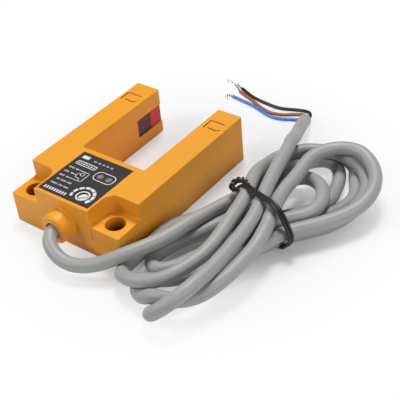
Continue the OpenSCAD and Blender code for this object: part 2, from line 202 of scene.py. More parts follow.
# Each lamp's place and the side of its square, in metres
LAMPS = {
    "key": ((-0.5, -0.55, 0.58), 0.5),
    "top": ((-0.14, 0.36, 0.96), 0.3),
    "fill": ((0.85, -0.16, 0.42), 0.5),
}
LAMP_TARGET = (0.02, 0.01, 0.01)

# Ellipses where the floor's painted white glow thins: middle, half axes in metres, turn in degrees, least
# share of white
GLOW_THINNING = (
    ((0.02, 0.015), (0.095, 0.095), 0, 0.4),
    ((0.054, 0), (0.07, 0.026), 48, 0.2),
)


def linear(red, green, blue):
    """Linear colour of a colour written as eight-bit screen values."""
    screen = np.array([red, green, blue]) / 255
    return tuple(np.where(screen > 0.04045, ((screen + 0.055) / 1.055) ** 2.4, screen / 12.92).tolist())


def colour_property(name, description, screen):
    """A colour that a user may change, given by its screen values."""
    return FloatVectorProperty(
        name=name, description=description, subtype="COLOR", size=3, min=0, max=1, default=linear(*screen)
    )


def number_property(name, description, default, unit="LENGTH"):
    """A number that a user may change: a length in metres, or one with another unit."""
    return FloatProperty(name=name, description=description, default=default, min=0, unit=unit, precision=5)


class HousingSettings(bpy.types.PropertyGroup):
    """Sizes and colours of the moulded housing and its label."""

    plastic: colour_property("Plastic", "Colour of the housing", (237, 160, 40))
    film: colour_property("Label film", "Colour of the label", (60, 57, 58))
    ink: colour_property("Ink", "Colour of the bright print", (236, 236, 232))
    pale_ink: colour_property("Pale ink", "Colour of the dim print", (178, 175, 182))
    edge_width: number_property("Edge", "Width of the outer edges' rounding", 0.00034)
    mark_width: number_property("Mark width", "Width of the engraved lines", 0.0006)
    line_width: number_property("Line width", "Width of the printed lines", 0.00036)


class CableSettings(bpy.types.PropertyGroup):
    """Sizes and colours of the cable, its wires and its tie."""

    diameter: number_property("Cable diameter", "Outer diameter of the jacket", 0.0052)
    wire_diameter: number_property("Wire diameter", "Outer diameter of each wire", 0.0015)
    strand_diameter: number_property("Strand diameter", "Diameter of one bare strand", 0.00028)
    tie_diameter: number_property("Tie strand", "Diameter of one strand of the tie", 0.00126)
    jacket: colour_property("Jacket", "Colour of the cable's jacket", (164, 164, 163))
    brown: colour_property("Brown wire", "Colour of the brown wire", (172, 98, 70))
    blue: colour_property("Blue wire", "Colour of the blue wire", (78, 126, 212))
    black: colour_property("Black wire", "Colour of the black wire", (40, 40, 42))
    tie: colour_property("Tie", "Colour of the twist tie", (38, 36, 35))


class StageSettings(bpy.types.PropertyGroup):
    """Light and floor of the stage."""

    floor: colour_property("Floor", "Colour of the floor", (229, 229, 230))
    key_power: number_property("Key", "Power of the lamp on the left", 4.3, "POWER")
    top_power: number_property("Top", "Power of the lamp overhead", 7.7, "POWER")
    fill_power: number_property("Fill", "Power of the lamp on the right", 3.6, "POWER")


class SensorSettings(bpy.types.PropertyGroup):
    """All that a user may change."""

    housing: PointerProperty(type=HousingSettings)
    cable: PointerProperty(type=CableSettings)
    stage: PointerProperty(type=StageSettings)


class Value:
    """A socket's value, so that shader maths reads as Python expressions."""

    def __init__(self, finish, socket):
        self.finish = finish
        self.socket = socket

    def maths(self, operation, other=0.0):
        """One step of shader maths on this value and perhaps another."""
        return self.finish.node("ShaderNodeMath", {"operation": operation}, {0: self, 1: other})

    def __add__(self, other):
        return self.maths("ADD", other)

    def __mul__(self, other):
        return self.maths("MULTIPLY", other)

    def __gt__(self, other):
        return self.maths("GREATER_THAN", other)

    def __lt__(self, other):
        return self.maths("LESS_THAN", other)

    __radd__ = __add__


class Finish:
    """One procedural material: its nodes, its shader and the place in object coordinates."""

    def __init__(self, name, metallic=0.0, specular=0.5):
        self.material = bpy.data.materials.new(name)
        self.material.use_nodes = True
        self.tree = self.material.node_tree
        self.shader = self.tree.nodes["Principled BSDF"]
        self.shader.inputs["Metallic"].default_value = metallic
        self.shader.inputs["Specular IOR Level"].default_value = specular
        self.place = self.node("ShaderNodeTexCoord", {}, {}, "Object")

    def node(self, kind, settings, inputs, output=0):
        """Adds a node, gives it its settings and its inputs, and gives one of its outputs."""
        made = self.tree.nodes.new(kind)
        for name, setting in settings.items():
            setattr(made, name, setting)
        for key, entry in inputs.items():
            if isinstance(entry, Value):
                self.tree.links.new(entry.socket, made.inputs[key])
            else:
                made.inputs[key].default_value = entry
        return Value(self, made.outputs[output])

    def stretched(self, place, scale):
        """Coordinates scaled by a different number along each axis."""
        return self.node("ShaderNodeMapping", {}, {"Vector": place, "Scale": scale})

    def along(self, axis):
        """One of the place's coordinates."""
        return self.node("ShaderNodeSeparateXYZ", {}, {0: self.place}, axis)

    def distance(self, place, point):
        """How far a place is from a point."""
        return self.node("ShaderNodeVectorMath", {"operation": "DISTANCE"}, {0: place, 1: point}, "Value")

    def ramp(self, value, start, end, low=0.0, high=1.0, curve="LINEAR"):
        """Goes from low to high while a value goes from start to end."""
        return self.node("ShaderNodeMapRange", {"interpolation_type": curve}, {
            "Value": value, "From Min": start, "From Max": end, "To Min": low, "To Max": high,
        })

    def noise(self, scale, detail=3.0, place=None):
        """Soft noise between zero and one, over object coordinates or others."""
        inputs = {"Vector": place or self.place, "Scale": scale, "Detail": detail}
        return self.node("ShaderNodeTexNoise", {}, inputs)

    def mix(self, factor, first, second):
        """Opaque colour between two colours, each a linear colour or a value."""
        ends = [end if isinstance(end, Value) else (*end, 1.0) for end in (first, second)]
        return self.node("ShaderNodeMix", {"data_type": "RGBA"}, {0: factor, 6: ends[0], 7: ends[1]}, 2)

    def tones(self, factor, colour, first, second):
        """Colour between two shades of one colour, each given as a factor."""
        return self.mix(factor, *np.clip(np.outer((first, second), tuple(colour)), 0, 1).tolist())

    def feed(self, socket, value):
        """Links a varying value to one of the shader's sockets."""
        self.tree.links.new(value.socket, self.shader.inputs[socket])

    def bump(self, height, strength, distance):
        """Lets a height field tilt the surface."""
        self.feed("Normal", self.node("ShaderNodeBump", {}, {
            "Height": height, "Strength": strength, "Distance": distance,
        }))

    def painted(self, colour, grain, least, spread):
        """The material, with a colour, and a roughness of the least plus the spread times the grain."""
        self.feed("Base Color", colour)
        self.feed("Roughness", least + grain * spread)
        return self.material


def moulded_plastic(name, colour, roughness=0.4, spread=0.09, dim=None):
    """Moulded plastic: cloudy tone, a grain that the roughness follows, and painted shade where dim is one.
    """
    finish = Finish(name, specular=0.38)
    cloud = finish.noise(55)
    fine = finish.noise(1400, 4)
    tone = finish.tones(cloud * 0.6 + fine * 0.4, colour, 1 - spread, 1 + spread)
    if dim:
        # Painted shade: the unlit colour wherever dim marks a recess that lies in shade
        unlit = linear(112, 56, 14)
        tone = finish.mix(dim(finish), tone, unlit)
    finish.bump(finish.noise(3200, 2), strength=0.16, distance=0.04 * MM)
    return finish.painted(tone, fine, roughness - 0.08, 0.16)


def painted_recess_shade(finish):
    """Painted shade: how dim a place is, partly in the engraved lines, more and more down the screw holes.
    """
    x, y, z = map(finish.along, "XYZ")
    side = x.maths("ABSOLUTE")
    groove_top = HOUSING_HIGH.z - 0.1 * MM
    groove_bottom = HOUSING_HIGH.z - 2 * MM
    groove_dim = 0.6
    on_arm = (side > ARM_INNER + MARK_INSET) * (side < HOUSING_HIGH.x - MARK_INSET)
    near_tip = (y > HOUSING_HIGH.y - MARK_REACH) * (y < HOUSING_HIGH.y - MARK_INSET)
    # Painted shade in the engraved lines, at a share of the unlit colour
    painted_groove_shade = on_arm * near_tip * (z < groove_top) * (z > groove_bottom) * groove_dim
    # Painted shade down the screw holes, from none near their top to deep near their bottom
    hole_axis = (SCREW_HOLE[0] * MM, SCREW_HOLE[1] * MM, 0)
    hole_radius = 3.8 * MM
    lit_height, dark_height = 12.9 * MM, 7 * MM
    hole_dim = 0.9
    plan = finish.node("ShaderNodeCombineXYZ", {}, {0: side, 1: y})
    in_hole = finish.distance(plan, hole_axis) < hole_radius
    return painted_groove_shade.maths("MAXIMUM", in_hole * finish.ramp(z, lit_height, dark_height, 0, hole_dim))


def metal(name, colour):
    """Drawn metal: fine streaks in its tone and roughness."""
    finish = Finish(name, metallic=1.0)
    streak = finish.noise(1, place=finish.stretched(finish.place, (300, 2600, 2600)))
    return finish.painted(finish.tones(streak, colour, 0.82, 1.08), streak, 0.22, 0.2)


def printed_film(name, colour):
    """Label film: dark, slightly mottled, with a fine satin grain."""
    finish = Finish(name, specular=0.15)
    mottle = finish.noise(420)
    fine = finish.noise(5200, 2)
    finish.bump(fine, strength=0.1, distance=0.02 * MM)
    return finish.painted(finish.tones(mottle, colour, 0.86, 1.14), fine, 0.36, 0.14)


def ink(name, colour):
    """Screen print: its cover thins a little in fine specks."""
    finish = Finish(name)
    speck = finish.noise(2600)
    return finish.painted(finish.tones(speck, colour, 0.84, 1.1), speck, 0.45, 0.2)


def lens(name, colour, centre):
    """Cloudy lens of an indicator: lighter towards its middle, with a soft gloss."""
    finish = Finish(name)
    rim = finish.ramp(finish.distance(finish.place, centre), 0.4 * MM, 1.2 * MM)
    cloud = finish.noise(1500)
    return finish.painted(finish.tones(rim * 0.7 + cloud * 0.3, colour, 1.25, 0.72), cloud, 0.16, 0.14)


def collar_plastic(name, axis, bore):
    """Ivory plastic of the trimmer's body, with near-black painted shade in the bore round its axis."""
    finish = Finish(name)
    shaded_bore = finish.distance(finish.stretched(finish.place, (1, 1, 0)), axis) < bore
    fine = finish.noise(1600)
    pale = finish.mix(fine, linear(222, 220, 212), linear(244, 242, 234))
    # Painted shade: near black in the bore, where the gap round the rotor lies in shade
    dark = finish.mix(fine, linear(24, 23, 22), linear(40, 38, 36))
    return finish.painted(finish.mix(shaded_bore, pale, dark), fine, 0.34, 0.14)


def window_plastic(name, reflection_end):
    """Red filter window: a painted reflection of the facing arm darkens it, bright red near the tip, a
    sharp step.
    """
    finish = Finish(name, specular=0.3)
    cloud = finish.noise(260)
    past_reflection = finish.along("Y") > reflection_end
    # Painted reflection of the facing arm: dark red over most of the window, bright red past its end
    painted_arm_reflection = finish.mix(cloud, linear(84, 26, 46), linear(108, 38, 60))
    bright = finish.mix(cloud, linear(190, 36, 54), linear(214, 58, 74))
    return finish.painted(finish.mix(past_reflection, painted_arm_reflection, bright), cloud, 0.24, 0.12)


def circuit_board(name):
    """Solder-masked board: green with paler tracks under the mask."""
    finish = Finish(name)
    tracks = finish.node("ShaderNodeTexBrick", {"offset": 0.5}, {
        "Vector": finish.place, "Scale": 320, "Mortar Size": 0.03, "Brick Width": 1.6, "Row Height": 0.45,
    }, "Fac")
    fine = finish.noise(1800)
    mask = finish.mix(fine, linear(14, 82, 52), linear(22, 104, 66))
    return finish.painted(finish.mix(tracks, mask, linear(58, 138, 92)), fine, 0.28, 0.16)


def clear_resin(name, colour):
    """Cast resin of a diode: tinted, clouded and glossy."""
    finish = Finish(name)
    cloud = finish.noise(700)
    return finish.painted(finish.tones(cloud, colour, 0.7, 1.15), cloud, 0.08, 0.1)


def soft_jacket(name, colour, roughness=0.46, spread=0.07):
    """Soft extruded jacket: faint streaks along it, cloudy tone and a fine matt grain."""
    finish = Finish(name)
    surface = finish.node("ShaderNodeTexCoord", {}, {}, "UV")
    streak = finish.noise(1, 2, finish.stretched(surface, (9, 26, 1)))
    cloud = finish.noise(140)
    fine = finish.noise(2600)
    tone = finish.tones(streak * 0.3 + cloud * 0.4 + fine * 0.3, colour, 1 - spread, 1 + spread)
    finish.bump(fine, strength=0.14, distance=0.05 * MM)
    return finish.painted(tone, fine, roughness - 0.07, 0.14)


class Grid(NamedTuple):
    """Points on a grid, whether they close along each parameter, and whether the ends are shut."""

    points: np.ndarray
    loop: bool = False
    wrap: bool = False
    capped: bool = False


def lengths_along(points, power=1):
    """Sum of the steps' lengths up to each of a line's points, each length raised to the power."""
    return np.concatenate([[0], np.cumsum(np.linalg.norm(np.diff(points, axis=0), axis=1) ** power)])


def unit(vectors):
    """Vectors made one long."""
    return vectors / np.linalg.norm(vectors, axis=-1, keepdims=True)


def grid_faces(grid, start):
    """Quads between rows and columns, the caps, and each corner's own coordinates."""
    rows, columns = grid.points.shape[:2]
    row = np.arange(rows if grid.loop else rows - 1)[:, None]
    column = np.arange(columns if grid.wrap else columns - 1)[None, :]
    corners = ((row, column), (row, column + 1), (row + 1, column + 1), (row + 1, column))
    index = [start + (r % rows) * columns + c % columns for r, c in corners]
    quads = np.stack([np.broadcast_to(i, (row.size, column.size)) for i in index], -1).reshape(-1, 4)
    middle = grid.points.mean(axis=1)
    reach = lengths_along(np.vstack([middle, middle[:1]])) / PATTERN_LENGTH
    place = [np.stack(np.broadcast_arrays(reach[r], c / columns), -1) for r, c in corners]
    corner_place = np.stack(place, 2).reshape(-1, 2)
    faces = quads.tolist()
    if grid.capped:
        ring = np.arange(columns)
        faces.append((start + ring[::-1]).tolist())
        faces.append((start + (rows - 1) * columns + ring).tolist())
        corner_place = np.vstack([corner_place, np.zeros((columns, 2)), np.full((columns, 2), reach[-2])])
    return faces, corner_place


def new_piece(name, grids, material):
    """One piece from surfaces on grids, smooth where they bend and sharp at their edges."""
    points = [grid.points.reshape(-1, 3) for grid in grids]
    starts = np.cumsum([0] + [len(part) for part in points])
    faces, places = zip(*(grid_faces(grid, start) for grid, start in zip(grids, starts)))
    mesh = bpy.data.meshes.new(name)
    mesh.from_pydata(np.concatenate(points), [], sum(faces, []))
    mesh.uv_layers.new(name="surface").data.foreach_set("uv", np.concatenate(places).ravel())
    return finish_piece(name, mesh, material)


def finish_piece(name, mesh, material):
    """Links a mesh as a piece that rides on the case, with its material."""
    mesh.materials.clear()
    mesh.materials.append(material)
    mesh.polygons.foreach_set("use_smooth", np.ones(len(mesh.polygons), bool))
    mesh.set_sharp_from_angle(angle=np.radians(SHARP_ANGLE))
    mesh.update()
    piece = linked_object(name, mesh)
    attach(piece, "case")
    return piece


def linked_object(name, data):
    """A new object at the origin, in the scene."""
    made = bpy.data.objects.new(name, data)
    bpy.context.scene.collection.objects.link(made)
    return made


def add_modifier(piece, kind, **settings):
    """Adds a modifier to a piece and sets it."""
    made = piece.modifiers.new(kind.lower(), kind)
    for name, setting in settings.items():
        setattr(made, name, setting)


def dress(material, *nodes):
    """Gives CAD nodes a material."""
    for name in nodes:
        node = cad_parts[name]
        if not node.material_slots:
            node.data.materials.append(None)
        for holder in node.material_slots:
            holder.material = material


def straight_path(points, step):
    """Points spaced evenly along straight pieces; columns after the third go with them."""
    reach = lengths_along(points[:, :3])
    even = np.linspace(0, reach[-1], int(reach[-1] / step) + 1)
    return np.stack([np.interp(even, reach, column) for column in points.T], 1)


def smooth_path(points, step, hold=None):
    """Curve through the points in centripetal Catmull-Rom pieces, spaced evenly; hold goes with it."""
    given = np.asarray(points, float)
    p = np.vstack([2 * given[0] - given[1], given, 2 * given[-1] - given[-2]])
    knots = lengths_along(p, 0.5)
    samples_per_point = 40
    fine = np.linspace(knots[1], knots[-2], samples_per_point * len(given))
    piece = np.clip(np.searchsorted(knots, fine, side="right") - 1, 1, len(p) - 3)
    t = fine[:, None]
    k0, k1, k2, k3 = (knots[piece + shift][:, None] for shift in (-1, 0, 1, 2))
    p0, p1, p2, p3 = (p[piece + shift] for shift in (-1, 0, 1, 2))

    def between(first, last, start, end):
        """Goes straight from the first to the last while t goes from start to end."""
        return (end - t) / (end - start) * first + (t - start) / (end - start) * last

    middle = between(p1, p2, k1, k2)
    before = between(between(p0, p1, k0, k1), middle, k0, k2)
    after = between(middle, between(p2, p3, k2, k3), k1, k3)
    curve = between(before, after, k1, k2)
    path = straight_path(np.column_stack([curve, fine]), step)
    if hold is None:
        return path[:, :3]
    return path[:, :3], np.interp(path[:, 3], knots[1:-1], hold)


def turn_points(turn):
    """Points of one turn: an ellipse turned in plan, whose height runs straight and sags by the dip."""
    share = np.linspace(0, 1, TURN_POINTS)
    angle = np.radians(turn.first_angle + (turn.last_angle - turn.first_angle) * share)
    tilt = np.radians(turn.tilt)
    u = turn.half_axes[0] * np.cos(angle)
    v = turn.half_axes[1] * np.sin(angle)
    x = turn.centre[0] + u * np.cos(tilt) - v * np.sin(tilt)
    y = turn.centre[1] + u * np.sin(tilt) + v * np.cos(tilt)
    sag = 4 * turn.dip * share * (1 - share)
    z = turn.first_height + (turn.last_height - turn.first_height) * share - sag
    return np.stack([x, y, z], 1)


def settle(path, hold, gap, step):
    """Pushes strands that touch apart to one diameter, keeps bends soft and nothing below the floor."""
    rounds = 160
    rounds_per_search = 8
    search_reach = 1.6 * gap
    same_strand = 3.2 * gap
    firmest = 0.75
    push_rate = 0.6
    bend_rate = 0.6
    home_rate = 0.03
    home = path.copy()
    count = len(path)
    first, second = np.triu_indices(count, int(np.ceil(same_strand / step)))
    give = (1 - firmest * hold)[:, None]
    for turn in range(rounds):
        if turn % rounds_per_search == 0:
            near = np.linalg.norm(path[first] - path[second], axis=1) < search_reach
            a, b = first[near], second[near]
            share = give[a] / (give[a] + give[b])
        apart = path[a] - path[b]
        distance = np.linalg.norm(apart, axis=1, keepdims=True)
        push = apart / np.maximum(distance, 1e-9) * np.maximum(gap - distance, 0)
        hit = (distance[:, 0] < gap).astype(float)
        contacts = np.bincount(a, hit, count) + np.bincount(b, hit, count)
        pushes = zip((push * share).T, (push * (1 - share)).T)
        move = [np.bincount(a, on_a, count) - np.bincount(b, on_b, count) for on_a, on_b in pushes]
        path = path + push_rate * np.stack(move, 1) / np.maximum(contacts, 1)[:, None]
        bend = np.zeros_like(path)
        bend[2:-2] = (-path[:-4] + 4 * path[1:-3] - 6 * path[2:-2] + 4 * path[3:-1] - path[4:]) / 16
        path = path + bend_rate * bend
        path = path + home_rate * (1 - turn / rounds) * hold[:, None] * (home - path)
        path[:, 2] = np.maximum(path[:, 2], gap / 2)
        path[:3], path[-3:] = home[:3], home[-3:]
    return path


def cable_path(diameter):
    """The cable's settled centre line: its parts in order, each with how firmly it holds its place."""
    step = 1.8 * MM
    parts = (
        (LEAD, 1.0), (turn_points(SECOND_TURN), 0.6), (SHORT_FOLD, 0.3), (turn_points(INNER_TURN), 0.8),
        (INNER_FOLD, 0.7), (turn_points(THIRD_TURN), 0.5), (LEFT_FOLD, 0.9), (turn_points(WIDE_TURN), 0.8),
        (MIDDLE_FOLD, 0.9), (turn_points(TOP_TURN), 1.0), (TOP_FOLD, 0.9), (TAIL, 1.0),
    )
    points = np.vstack([np.asarray(part, float) for part, _ in parts]) * MM
    hold = np.concatenate([np.full(len(part), weight) for part, weight in parts])
    path, hold = smooth_path(points, step, hold)
    return smooth_path(settle(path, hold, diameter, step), step / 2)


def path_frames(path, across=None):
    """Directions along, across and out of a path: with the least twist, or square to a given one."""
    along = unit(np.gradient(path, axis=0))
    if across is not None:
        side = np.broadcast_to(across, path.shape) - (along @ np.asarray(across))[:, None] * along
    else:
        side = np.empty_like(path)
        side[0] = np.cross(along[0], np.eye(3)[np.argmin(np.abs(along[0]))])
        for station in range(1, len(path)):
            last = side[station - 1]
            side[station] = unit(last - (last @ along[station]) * along[station])
    side = unit(side)
    return along, side, np.cross(along, side)


def profile_rings(path, side, out, radius, sides, phase=0.0):
    """Rings: the path's point plus the radius times cosine and sine along the two cross directions."""
    angle = (np.arange(sides) / sides * 2 * np.pi + phase)[None, :, None]
    ring = np.cos(angle) * side[:, None] + np.sin(angle) * out[:, None]
    return path[:, None] + np.broadcast_to(radius, len(path))[:, None, None] * ring


def tube(path, radius, sides, across=None, phase=0.0):
    """A round profile along a path, shut at both ends; its radius may differ between stations."""
    _, side, out = path_frames(path, across)
    return Grid(profile_rings(path, side, out, radius, sides, phase), wrap=True, capped=True)


def twisted(path, radius, pitch, phase):
    """A path wound round another: offset by the radius at an angle that grows with the length."""
    _, side, out = path_frames(path)
    angle = (lengths_along(path) / pitch * 2 * np.pi + phase)[:, None]
    return path + np.reshape(radius, (-1, 1)) * (np.cos(angle) * side + np.sin(angle) * out)


def round_directions(loop):
    """Directions along a closed line of points."""
    return unit(np.roll(loop, -1, axis=0) - np.roll(loop, 1, axis=0))


def ribbon(path, width, height, loop=False):
    """Flat strip on a level face: the path's points moved half the width to each side in plan."""
    flat = np.column_stack([np.asarray(path, float), np.full(len(path), height)])
    along = round_directions(flat) if loop else unit(np.gradient(flat, axis=0))
    side = np.stack([-along[:, 1], along[:, 0], np.zeros(len(flat))], 1) * width / 2
    return Grid(np.stack([flat + side, flat - side], 1)[::-1], loop=loop)


def bar(left, right, middle, depth, height):
    """A filled rectangle on a level face."""
    return ribbon([(left, middle), ((left + right) / 2, middle), (right, middle)], depth, height)


def polyline(points, width, height):
    """Straight strips along a line of points, each lengthened by half its width so that corners close."""
    grids = []
    for first, last in zip(points[:-1], points[1:]):
        reach = unit(last - first) * width / 2
        grids.append(ribbon([first - reach, (first + last) / 2, last + reach], width, height))
    return grids


def sector(centre, inner, outer, first, last, height):
    """A block of a ring: radius from inner to outer, angle from first to last in degrees."""
    angle = np.radians(np.linspace(first, last, 7))[None, :]
    radius = np.linspace(inner, outer, 3)[:, None]
    x = centre[0] + radius * np.cos(angle)
    y = centre[1] + radius * np.sin(angle)
    return Grid(np.stack([x, y, np.full_like(x, height)], -1)[:, ::-1])


def rounded_outline(centre, width, depth, radius, count):
    """Rounded rectangle: a circle of the corner radius, moved out to each corner in turn."""
    angle = (np.arange(count) + 0.5) / count * 2 * np.pi
    x = centre[0] + np.sign(np.cos(angle)) * (width / 2 - radius) + radius * np.cos(angle)
    y = centre[1] + np.sign(np.sin(angle)) * (depth / 2 - radius) + radius * np.sin(angle)
    return np.stack([x, y], 1)


def add_cable(settings):
    """The jacket: a tube on the settled path, whose cut end has a wall and a hollow for the wires."""
    diameter = settings.diameter
    path = cable_path(diameter)
    along, side, out = path_frames(path)
    # Rings at the cut: radius as a share of the diameter, and millimetres back from the end
    cut_rings = ((0.47, 0.15), (0.45, 0), (0.34, 0), (0.34, HOLLOW_DEPTH))
    stations = np.vstack([path[:-1]] + [path[-1] - along[-1] * back * MM for _, back in cut_rings])
    shares = [0.5] * (len(path) - 1) + [share for share, _ in cut_rings]
    extra = len(stations) - len(path)
    frames = [np.vstack([given, np.repeat(given[-1:], extra, axis=0)]) for given in (side, out)]
    rings = profile_rings(stations, *frames, diameter * np.array(shares), sides=24)
    material = soft_jacket("grey_jacket", settings.jacket)
    grid = Grid(rings, wrap=True, capped=True)
    jacket = new_piece("cable_jacket", [grid], material)
    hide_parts("cable_lead", "cable_hank", "cable_tail")
    return jacket, path


def add_wires(settings, direction):
    """Three insulated wires out of the jacket's end, each with a few bare strands."""
    tinned = metal("tinned_copper", linear(206, 198, 188))
    colours = {"black_wire": settings.black, "brown_wire": settings.brown, "blue_wire": settings.blue}
    strand_phases = (0.0, 2.1, 4.2)
    strand_spread = (0.18 * MM, 0.4 * MM)
    strand_pitch = 7 * MM
    end_rounding = 0.86
    for name, route in WIRE_ROUTES.items():
        points = np.array(route) * MM
        hidden_start = points[0] - direction * HOLLOW_DEPTH * MM
        path = smooth_path(np.vstack([hidden_start, points]), 0.6 * MM)
        slot = name.replace("wire", "insulation")
        radius = np.full(len(path), settings.wire_diameter / 2)
        radius[-1] *= end_rounding
        material = soft_jacket(slot, colours[name], 0.4, 0.1)
        wire = new_piece(name + "_insulation", [tube(path, radius, sides=16)], material)
        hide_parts(name)
        core = smooth_path(np.array(STRAND_ROUTES[name]) * MM, 0.3 * MM)
        spread = np.linspace(*strand_spread, len(core))
        paths = [twisted(core, spread, strand_pitch, phase) for phase in strand_phases]
        grids = [tube(strand, settings.strand_diameter / 2, sides=8) for strand in paths]
        strands = new_piece(name + "_strands", grids, tinned)


def tie_loop(path, clearance):
    """Loop round all strands in the tie's plane: the outermost one each way, plus clearance and swell."""
    bundle_half = 24 * MM
    lowest = 0.7 * MM
    directions = 160
    loop_points = 140
    smoothing_rounds = 12
    turn = np.radians(TIE_TURN)
    across = np.array([np.cos(turn), np.sin(turn), 0])
    normal = np.array([-np.sin(turn), np.cos(turn), 0])
    middle = np.array([*TIE_MIDDLE, 0]) * MM
    depth = (path - middle) @ normal
    cut = np.nonzero(np.sign(depth[:-1]) != np.sign(depth[1:]))[0]
    share = (depth[cut] / (depth[cut] - depth[cut + 1]))[:, None]
    strands = path[cut] + share * (path[cut + 1] - path[cut]) - middle
    flat = np.stack([strands @ across, strands[:, 2]], 1)
    flat = flat[np.abs(flat[:, 0]) < bundle_half]
    angle = np.linspace(0, 2 * np.pi, directions, endpoint=False)
    outward = np.stack([np.cos(angle), np.sin(angle)], 1)
    edge = flat[np.argmax(flat @ outward.T, axis=0)] + clearance * outward
    edge[:, 1] = np.maximum(edge[:, 1], lowest)
    closed = np.vstack([edge, edge[:1]])
    reach = lengths_along(closed)
    even = np.linspace(0, reach[-1], loop_points, endpoint=False)
    ring = np.stack([np.interp(even, reach, column) for column in closed.T], 1)
    angle = np.arctan2(ring[:, 1] - ring[:, 1].mean(), ring[:, 0])
    swell = np.exp(-((np.degrees(angle) - TIE_SWELL_ANGLE) / TIE_SWELL_SPREAD) ** 2) * TIE_SWELL * MM
    ring += swell[:, None] * np.stack([np.cos(angle), np.sin(angle)], 1)
    for _ in range(smoothing_rounds):
        ring = (np.roll(ring, 1, axis=0) + 2 * ring + np.roll(ring, -1, axis=0)) / 4
    return middle + ring[:, :1] * across + ring[:, 1:] * np.array([0, 0, 1]), normal


def add_tie(settings, path):
    """Twist tie: two strands side by side round the hank, and their ends twisted round each other."""
    radius = settings.tie_diameter / 2
    strand_shift = 0.96 * radius
    knot_radius = 0.92 * radius
    knot_pitch = 4 * MM
    loop, normal = tie_loop(path, settings.diameter / 2 + radius)
    side = np.broadcast_to(normal, loop.shape)
    out = np.cross(round_directions(loop), side)
    grids = [
        Grid(profile_rings(loop + normal * shift, side, out, radius, sides=12), loop=True, wrap=True)
        for shift in (-strand_shift, strand_shift)
    ]
    knot = smooth_path(np.array(KNOT_ROUTE) * MM, 0.25 * MM)
    strands = [twisted(knot, radius, knot_pitch, phase) for phase in (0.0, np.pi)]
    grids += [tube(strand, knot_radius, sides=10) for strand in strands]
    material = soft_jacket("tie_coating", settings.tie, 0.42, 0.2)
    tie = new_piece("twist_tie_strands", grids, material)
    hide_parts("twist_tie")
    return tie


def mark_cutter(width):
    """Square bars along the engraved lines of both arms and the mould line on the end face."""
    bar_radius = width * 0.7
    seam_radius = width * 0.35
    top = HOUSING_HIGH.z - width * 0.3
    level = np.pi / 4
    grids = []
    for left in (HOUSING_LOW.x, ARM_INNER):
        for line in MARK_LINES:
            points = np.array([(left + x * MM, HOUSING_HIGH.y - y * MM, top) for x, y in line])
            path = smooth_path(points, 0.2 * MM) if len(line) > 3 else straight_path(points, 0.4 * MM)
            grids.append(tube(path, bar_radius, 4, across=(0, 0, 1), phase=level))
    seam = straight_path(np.array(MOULD_LINE) * MM, 0.5 * MM)
    return grids + [tube(seam, seam_radius, 4, across=(1, 0, 0), phase=level)]


def housing_mesh():
    """The CAD housing with whole flat faces; its sharp outer edges have a weight, but not by the label."""
    least_bend = np.radians(50)
    label_rim = 0.5 * MM
    wall = 1.7 * MM
    upper_part = 6 * MM
    work = bmesh.new()
    work.from_mesh(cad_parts["housing"].data)
    bmesh.ops.remove_doubles(work, verts=work.verts, dist=0.002 * MM)
    bmesh.ops.dissolve_limit(work, angle_limit=np.radians(0.6), verts=work.verts, edges=work.edges)
    bmesh.ops.recalc_face_normals(work, faces=work.faces)
    work.normal_update()
    bend = np.array([edge.calc_face_angle(0.0) for edge in work.edges])
    x, y, z = np.array([(edge.verts[0].co + edge.verts[1].co) / 2 for edge in work.edges]).T
    mesh = bpy.data.meshes.new("housing_copy")
    work.to_mesh(mesh)
    work.free()
    over_label = (np.abs(x) < LABEL_HIGH.x + label_rim) & (z < HOUSING_HIGH.z + label_rim)
    over_label &= (y > LABEL_LOW.y - label_rim) & (y < LABEL_HIGH.y + label_rim)
    outer = (x < HOUSING_LOW.x + wall) | (x > HOUSING_HIGH.x - wall) | (y > HOUSING_HIGH.y - wall)
    outer |= z > HOUSING_HIGH.z - wall - upper_part
    weights = mesh.attributes.new("bevel_weight_edge", "FLOAT", "EDGE")
    weights.data.foreach_set("value", ((bend > least_bend) & outer & ~over_label).astype(float))
    return mesh


def add_housing(settings):
    """The moulded fork: the CAD shape with rounded outer edges and engraved marks on its arms."""
    # The housing's plastic carries painted shade in its engraved lines and screw holes
    material = moulded_plastic("housing_plastic", settings.plastic, 0.44, dim=painted_recess_shade)
    shape = linked_object("housing_shape", housing_mesh())
    cutter = new_piece("mark_cutter", mark_cutter(settings.mark_width), material)
    add_modifier(
        shape, "BEVEL", limit_method="WEIGHT", width=settings.edge_width, segments=3,
        use_clamp_overlap=False,
    )
    add_modifier(shape, "BOOLEAN", operation="DIFFERENCE", object=cutter, solver="EXACT")
    bpy.context.view_layer.update()
    done = bpy.data.meshes.new_from_object(shape.evaluated_get(bpy.context.evaluated_depsgraph_get()))
    bpy.data.objects.remove(shape)
    bpy.data.objects.remove(cutter)
    done.name = "moulded_housing"
    housing = finish_piece("moulded_housing", done, material)
    add_modifier(housing, "WEIGHTED_NORMAL", keep_sharp=True)
    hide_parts("housing")
    dress(material, "bottom_cover")


